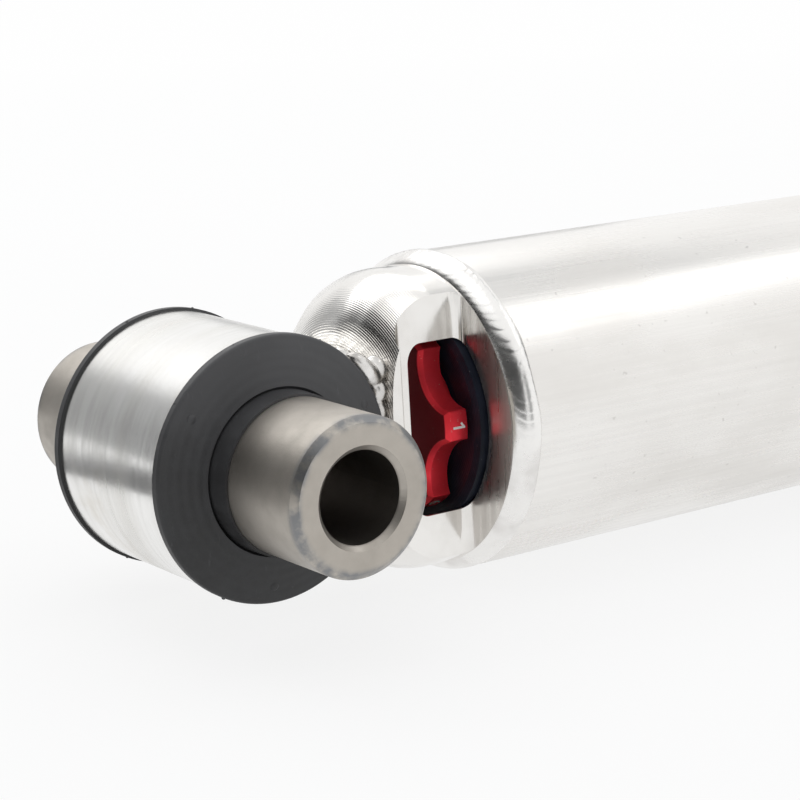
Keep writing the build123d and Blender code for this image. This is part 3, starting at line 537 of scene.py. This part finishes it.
def merged_mesh(name, shapes, voxel, smoothing):
    """Ellipsoids run together into one skin: (centre, radii, rotation) for each, in millimetres."""
    balls = bmesh.new()
    for centre, radii, turn in shapes:
        matrix = Matrix.Translation(Vector(centre) * MM) @ turn.to_matrix().to_4x4()
        matrix = matrix @ Matrix.Diagonal((*[r * MM for r in radii], 1))
        bmesh.ops.create_icosphere(balls, subdivisions=3, radius=1.0, matrix=matrix)
    mesh = bpy.data.meshes.new(name + "_balls")
    balls.to_mesh(mesh)
    balls.free()
    raw = link(name + "_raw", mesh)
    remesh = raw.modifiers.new("skin", "REMESH")
    remesh.mode = "VOXEL"
    remesh.voxel_size = voxel * MM
    smooth = raw.modifiers.new("smooth", "SMOOTH")
    smooth.factor = 0.5
    smooth.iterations = smoothing
    graph = bpy.context.evaluated_depsgraph_get()
    skin = bpy.data.meshes.new_from_object(raw.evaluated_get(graph))
    skin.name = name
    bpy.data.objects.remove(raw)
    return skin


def bezier(points, t):
    """The point on a cubic curve and the outward normal there."""
    a, b, c, d = points
    at = a * (1 - t) ** 3 + b * 3 * t * (1 - t) ** 2 + c * 3 * t * t * (1 - t) + d * t ** 3
    along = (b - a) * (1 - t) ** 2 + (c - b) * 2 * t * (1 - t) + (d - c) * t * t
    along.normalize()
    return at, Vector((-along.y, along.x))


def smooth_step(t):
    """0 up to 0 and 1 from 1 on, with a soft rise between them."""
    t = min(1.0, max(0.0, t))
    return t * t * (3 - 2 * t)


def bead_profile(angle, full):
    """The four points of its outline's curve, as (x, radius): tallest where it is full, by the window.

    The angle runs from the near window's side, -Y, over the top."""
    near = max(0.0, math.cos(angle - math.radians(15)))
    lap = 1.2 + (0.9 + 0.15 * math.sin(angle * 11 + 0.7)) * full
    return (Vector((WELD_TOE_X, NECK_R)),
            Vector((WELD_TOE_X + 0.88, BODY_R - 0.30 + 0.25 * full)),
            Vector((TUBE_START_X + 0.2 + 0.9 * full, BODY_R + 0.28 + (0.44 + 0.40 * near) * full)),
            Vector((TUBE_START_X + lap, BODY_R - 0.012)))


def body_bead():
    """The bead round the neck, a row of overlapping dimes that was dressed smooth along its underside."""
    dimes = 92
    around = dimes * 12
    across = 28
    fullest = math.radians(80)
    full_reach = math.radians(80)       # to either side of the fullest place the bead is full so far,
    bare_reach = math.radians(145)      # and past this it is dressed smooth
    rng = random.Random(4)
    strengths = [0.5 + 0.6 * rng.random() for _ in range(dimes)]
    skews = [rng.uniform(-0.12, 0.12) for _ in range(dimes)]
    verts = []
    for i in range(around):
        angle = 2 * math.pi * i / around
        from_fullest = abs((angle - fullest + math.pi) % (2 * math.pi) - math.pi)
        full = smooth_step((bare_reach - from_fullest) / (bare_reach - full_reach))
        profile = bead_profile(angle, full)
        for j in range(across + 1):
            t = j / across
            base, out = bezier(profile, t)
            bow = 1.5 * (1 - (2 * t - 1) ** 2) + 0.12 * math.sin(angle * 31 + 4 * t)
            phase = angle / (2 * math.pi) * dimes + bow + 0.3 * math.sin(angle * 7)
            dime = int(phase) % dimes
            ridge = math.sin(math.pi * (phase % 1.0) ** (0.45 + skews[dime]))
            from_edges = math.sin(math.pi * t) ** 0.7 if 0 < j < across else 0.0
            depth = (0.008 + 0.032 * full) * strengths[dime]
            p = base - out * depth * (1 - ridge) * from_edges
            verts.append((p.x, -p.y * math.cos(angle), p.y * math.sin(angle)))
        for x, r in ((TUBE_START_X + 1.7, BODY_R - 0.3), (WELD_TOE_X, NECK_R - 0.3)):
            verts.append((x, -r * math.cos(angle), r * math.sin(angle)))
    mesh = rings_mesh("body_weld_bead", verts, around)
    made = piece("body_weld_bead", mesh, weld, "shock_body")
    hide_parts("body_weld")


def eye_bead():
    """The bead round the boss: dimes laid over one another from the eye to the cap's face."""
    rng = random.Random(11)
    top_x, top_z = 19.1, 12.3                   # the rows over and under the boss
    side_x, side_y = CAP_FACE_X - 1.5, 12.2     # the rows up its sides
    dimes = []
    for side in (-1, 1):
        count, reach = 9, 12.6
        for i in range(count):
            y = -reach + 2 * reach * i / (count - 1)
            lean = Euler((rng.uniform(-0.1, 0.1), side * 0.75, rng.uniform(-0.25, 0.25)))
            centre = (top_x + rng.uniform(-0.15, 0.15), y, side * (top_z + rng.uniform(-0.2, 0.2)))
            dimes.append((centre, (4.7, 2.3, 1.9 + rng.uniform(-0.1, 0.2)), lean))
        count, reach = 8, 11.8
        for i in range(count):
            z = -reach + 2 * reach * i / (count - 1)
            centre = (side_x, side * (side_y + rng.uniform(-0.15, 0.15)), z)
            lean = Euler((rng.uniform(-0.15, 0.15), 0, side * 0.5))
            dimes.append((centre, (2.1, 1.8, 2.4), lean))
    mesh = merged_mesh("eye_weld_bead", dimes, voxel=0.26, smoothing=4)
    made = piece("eye_weld_bead", mesh, weld, "shock_body")
    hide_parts("eye_weld")


def curve_through(points, steps):
    """A smooth curve through all points but the first and last, which only give it its direction."""
    curve = []
    for a, b, c, d in zip(points, points[1:], points[2:], points[3:]):
        for step in range(steps):
            t = step / steps
            curve.append(0.5 * (2 * b + (c - a) * t + (2 * a - 5 * b + 4 * c - d) * t ** 2
                                + (3 * b - a - 3 * c + d) * t ** 3))
    return curve + [points[-2]]


def foam_stop():
    """The bump stop on the rod: a soft cone with a waist, one smooth curve from tip to cup."""
    low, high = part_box("bump_stop")
    start, length, full_r = low.x / MM, (high.x - low.x) / MM, high.z / MM
    around = 128
    # The rod's hole and the points of the outline, as shares of the stop's length and radius
    hole = 0.4765
    outline = [Vector(mark) for mark in (
        (0.0, 0.60), (0.0, 0.74), (0.015, 0.775), (0.07, 0.805), (0.18, 0.85), (0.30, 0.883), (0.40, 0.885),
        (0.50, 0.874), (0.58, 0.925), (0.66, 0.977), (0.75, 0.998), (0.95, 0.998), (0.99, 0.985),
        (1.0, 0.955), (1.0, 0.60))]
    profile = [Vector((0.0, hole)), *curve_through(outline, 5), Vector((1.0, hole))]
    verts = []
    for i in range(around):
        angle = 2 * math.pi * i / around
        for mark in profile:
            x = start + min(max(mark.x, 0.0), 1.0) * length
            r = min(mark.y, 0.999) * full_r
            verts.append((x, r * math.cos(angle), r * math.sin(angle)))
    mesh = rings_mesh("foam_bump_stop", verts, around)
    made = piece("foam_bump_stop", mesh, foam_rubber, "rod_assembly")
    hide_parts("bump_stop")


def flat_figure(number):
    """A flat figure about 2.4 mm tall, the 1 a plain stem and flag."""
    if number == 1:
        mesh = bpy.data.meshes.new("one")
        stem = [(-0.20, -1.2), (0.20, -1.2), (0.20, 1.2), (-0.10, 1.2), (-0.85, 0.55), (-0.62, 0.26),
                (-0.20, 0.62)]
        mesh.from_pydata([Vector((x, y, 0)) * MM for x, y in stem], [], [tuple(range(len(stem)))])
        return mesh
    text = bpy.data.curves.new(f"figure_{number}", "FONT")
    text.body = str(number)
    text.size = 3.3 * MM
    text.offset = 0.03 * MM
    flat = link("flat_figure", text)
    graph = bpy.context.evaluated_depsgraph_get()
    mesh = bpy.data.meshes.new_from_object(flat.evaluated_get(graph))
    bpy.data.objects.remove(flat)
    return mesh


def bend_round_knob(mesh, turn):
    """Bends a flat figure round the knob's rim at an angle, with its top towards the rod."""
    middle_x = (KNOB_X + KNOB_CHAMFER + KNOB_X + KNOB_THICKNESS) / 2 * MM
    radius = (KNOB_R + 0.012) * MM
    flat = bmesh.new()
    flat.from_mesh(mesh)
    bmesh.ops.triangulate(flat, faces=flat.faces)
    bmesh.ops.subdivide_edges(flat, edges=flat.edges, cuts=2, use_grid_fill=True)
    xs = [v.co.x for v in flat.verts]
    ys = [v.co.y for v in flat.verts]
    for vertex in flat.verts:
        angle = turn + (vertex.co.x - (min(xs) + max(xs)) / 2) / radius
        up = vertex.co.y - (min(ys) + max(ys)) / 2
        vertex.co = (middle_x + up, -radius * math.cos(angle), -radius * math.sin(angle))
    for face in flat.faces:
        face.normal_update()
        outward = Vector((0, *face.calc_center_median().yz))
        if face.normal.dot(outward) < 0:
            face.normal_flip()
    flat.to_mesh(mesh)
    flat.free()


def knob_figures():
    """Figures 1 to 6, one on each lobe."""
    lobes = 6
    for index in range(lobes):
        mesh = flat_figure(index + 1)
        bend_round_knob(mesh, -(CLOCKING + KNOB_TURN) - index * 2 * math.pi / lobes)
        mesh.name = f"knob_figure_{index + 1}"
        mesh.materials.clear()
        mesh.materials.append(ink)
        made = link(mesh.name, mesh)
        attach(made, "adjuster")


def flash_nubs(centre_x, body):
    """Nubs of flash left on the rims and faces of the moulded bushes."""
    rng = random.Random(7)
    upright = Euler((0, 0, 0))
    rim_nubs, face_nubs, face_nubs_r = 10, 3, 18.0
    shapes = []
    for side in (-1, 1):
        for k in range(rim_nubs):
            angle = 2 * math.pi * (k + rng.uniform(-0.3, 0.3)) / rim_nubs
            r = FLANGE_R - 0.12 - 0.40 * abs(math.cos(angle)) ** 6      # lower towards the part's ends
            size = rng.uniform(0.22, 0.42)
            y = side * (EYE_HALF + 0.5 + rng.uniform(-0.2, 0.3))
            centre = (centre_x + r * math.cos(angle), y, r * math.sin(angle))
            shapes.append((centre, (size, size * 0.8, size), upright))
        for k in range(face_nubs):
            angle = 2 * math.pi * (k + 0.21) / face_nubs
            y = side * (FLANGE_FACE + 0.47)
            centre = (centre_x + face_nubs_r * math.cos(angle), y, face_nubs_r * math.sin(angle))
            shapes.append((centre, (0.9, 0.30, 0.9), upright))
    name = "bush_flash_" + body
    piece(name, merged_mesh(name, shapes, voxel=0.10, smoothing=1), rubber, body)


body_bead()
eye_bead()
foam_stop()
knob_figures()
flash_nubs(0.0, "shock_body")
flash_nubs(UPPER_X, "rod_assembly")


# Camera, solved from the photograph's own lines

SENSOR = 36.0
PHOTO_WIDTH = 800.0             # pixels
FOCAL_LENGTH = 2327.027         # pixels of the photograph
CAMERA_PLACE = Vector((-188.56332, -304.6127, 87.71757))
CAMERA_TURN = (77.33912, 1.558809, -36.689061)      # degrees about X, Y and Z

camera_data = bpy.data.cameras.new("camera")
camera_data.sensor_width = SENSOR
camera_data.lens = SENSOR * FOCAL_LENGTH / PHOTO_WIDTH
camera_data.clip_start = 0.01
camera_data.clip_end = 20.0
camera = link("camera", camera_data)
camera.location = CAMERA_PLACE * MM
camera.rotation_euler = [math.radians(angle) for angle in CAMERA_TURN]
scene.camera = camera


# Floor, world and lights, in metres from here on

FLOOR_Z = (-BODY_R - 0.45) * MM
FLOOR_HALF = 4
AIM = Vector((0.03, 0, 0))

scene.view_settings.view_transform = "Standard"


def shown_rays(tree):
    """1 for the rays that show what lies behind the part: the camera's, reflected and refracted ones."""
    path = tree.nodes.new("ShaderNodeLightPath")
    shown = path.outputs["Is Camera Ray"]
    for kind in ("Is Glossy Ray", "Is Transmission Ray"):
        either = tree.nodes.new("ShaderNodeMath")
        either.operation = "MAXIMUM"
        tree.links.new(shown, either.inputs[0])
        tree.links.new(path.outputs[kind], either.inputs[1])
        shown = either.outputs[0]
    return shown


def floor_surface():
    """Pale floor: lit and shadowed as it is, with its own white added for the rays that show it."""
    f = Shader("pale_floor")
    cloud = f.noise(f.place, scale=3, detail=2)
    tone = f.mix(f.span(cloud, 0.0, 1.0, 0.0, 0.3), (0.90, 0.90, 0.90), (0.88, 0.88, 0.88))
    material = f.finish(tone, 0.9, Specular_IOR_Level=0.1)
    white = f.add("ShaderNodeEmission")
    f.put(white.inputs["Color"], (1, 1, 1))
    f.put(white.inputs["Strength"], 1.0)
    away = f.span(f.radius(f.x, f.y), 0.3, 1.2, 0.81, 0.98)
    blend = f.add("ShaderNodeMixShader")
    f.put(blend.inputs[0], f.times(shown_rays(f.tree), away))
    f.put(blend.inputs[1], f.bsdf.outputs[0])
    f.put(blend.inputs[2], white.outputs[0])
    f.put(f.output.inputs[0], blend.outputs[0])
    return material


def stage_plane(name, corners, material):
    mesh = bpy.data.meshes.new(name)
    mesh.from_pydata(corners, [], [(0, 1, 2, 3)])
    mesh.materials.append(material)
    made = link(name, mesh)
    return made


def studio_world():
    """An even room to light the part, and plain white for the rays that show the background."""
    world = bpy.data.worlds.new("studio")
    scene.world = world
    world.use_nodes = True
    tree = world.node_tree
    tree.nodes.clear()
    switch = tree.nodes.new("ShaderNodeMixShader")
    tree.links.new(shown_rays(tree), switch.inputs[0])
    for socket, colour, strength in ((1, (0.98, 0.99, 1.0, 1), 0.80), (2, (1, 1, 1, 1), 1.0)):
        background = tree.nodes.new("ShaderNodeBackground")
        background.inputs["Color"].default_value = colour
        background.inputs["Strength"].default_value = strength
        tree.links.new(background.outputs[0], switch.inputs[socket])
    output = tree.nodes.new("ShaderNodeOutputWorld")
    tree.links.new(switch.outputs[0], output.inputs[0])


def around(azimuth, elevation, distance):
    """A place seen from the part's base end at an azimuth from +Y towards +X and an elevation."""
    a, e = math.radians(azimuth), math.radians(elevation)
    return AIM + distance * Vector((math.sin(a) * math.cos(e), math.cos(a) * math.cos(e), math.sin(e)))


def aimed(place):
    return (AIM - place).to_track_quat("-Z", "Y").to_euler()


def softbox(name, place, width, height, power):
    data = bpy.data.lights.new(name, "AREA")
    data.shape = "RECTANGLE"
    data.size = width
    data.size_y = height
    data.energy = power
    lamp = link(name, data)
    lamp.location = place
    lamp.rotation_euler = aimed(place)


def card(name, corners, level):
    """A card of the studio that shows in the metal as a grey band. The camera never sees it."""
    c = Shader(name + "_paint")
    cloud = c.noise(c.place, scale=4, detail=2)
    tone = c.mix(c.span(cloud, 0.0, 1.0, 0.0, 0.2), (level,) * 3, (level * 0.9,) * 3)
    made = stage_plane(name, corners, c.finish(tone, 0.9))
    made.visible_camera = False
    made.visible_diffuse = False
    made.visible_shadow = False


def grey_card(name, place, width, height, level):
    """A card that stands at a place and faces the part."""
    turn = aimed(place).to_matrix()
    w, h = width / 2, height / 2
    card(name, [place + turn @ Vector(c) for c in ((-w, -h, 0), (w, -h, 0), (w, h, 0), (-w, h, 0))], level)


def floor_card(name, azimuths, distances, level):
    """A card that lies on the floor beside the part."""
    first, last = azimuths
    near, far = distances
    corners = [around(*at) for at in ((first, 0, near), (first, 0, far), (last, 0, far), (last, 0, near))]
    card(name, [Vector((p.x, p.y, FLOOR_Z + 0.2 * MM)) for p in corners], level)


floor_corners = [(x * FLOOR_HALF, y * FLOOR_HALF, FLOOR_Z) for x, y in ((-1, -1), (1, -1), (1, 1), (-1, 1))]
stage_plane("floor", floor_corners, floor_surface())
studio_world()
softbox("softbox_front", around(115, 45, 1.0), 0.50, 0.20, 0.25)
softbox("softbox_back", around(10, 50, 1.1), 1.20, 0.45, 2.2)
softbox("softbox_top", around(-60, 78, 1.1), 0.60, 0.50, 0.8)
grey_card("card_side", around(-70, 16, 0.9), 0.66, 1.10, 0.02)
grey_card("card_edge", around(-44, 14, 0.95), 0.30, 0.86, 0.20)
grey_card("card_left", around(-23, 11, 1.0), 0.40, 0.60, 0.52)
grey_card("card_room", around(-130, 22, 0.95), 1.25, 0.95, 0.06)
grey_card("card_right", around(94, 8, 1.2), 0.40, 0.60, 0.25)
grey_card("card_front", around(176, 14, 1.2), 0.34, 0.70, 0.30)
grey_card("card_far", around(36, 5, 1.2), 0.30, 0.14, 0.45)
grey_card("card_high", around(80, 49, 1.1), 0.55, 0.18, 0.84)
# Painted shadow: a dark card on the floor beside the part stands in for the floor's shade seen in the metal.
floor_card("floor_shadow_card", (-62, -41), (0.11, 0.60), 0.16)
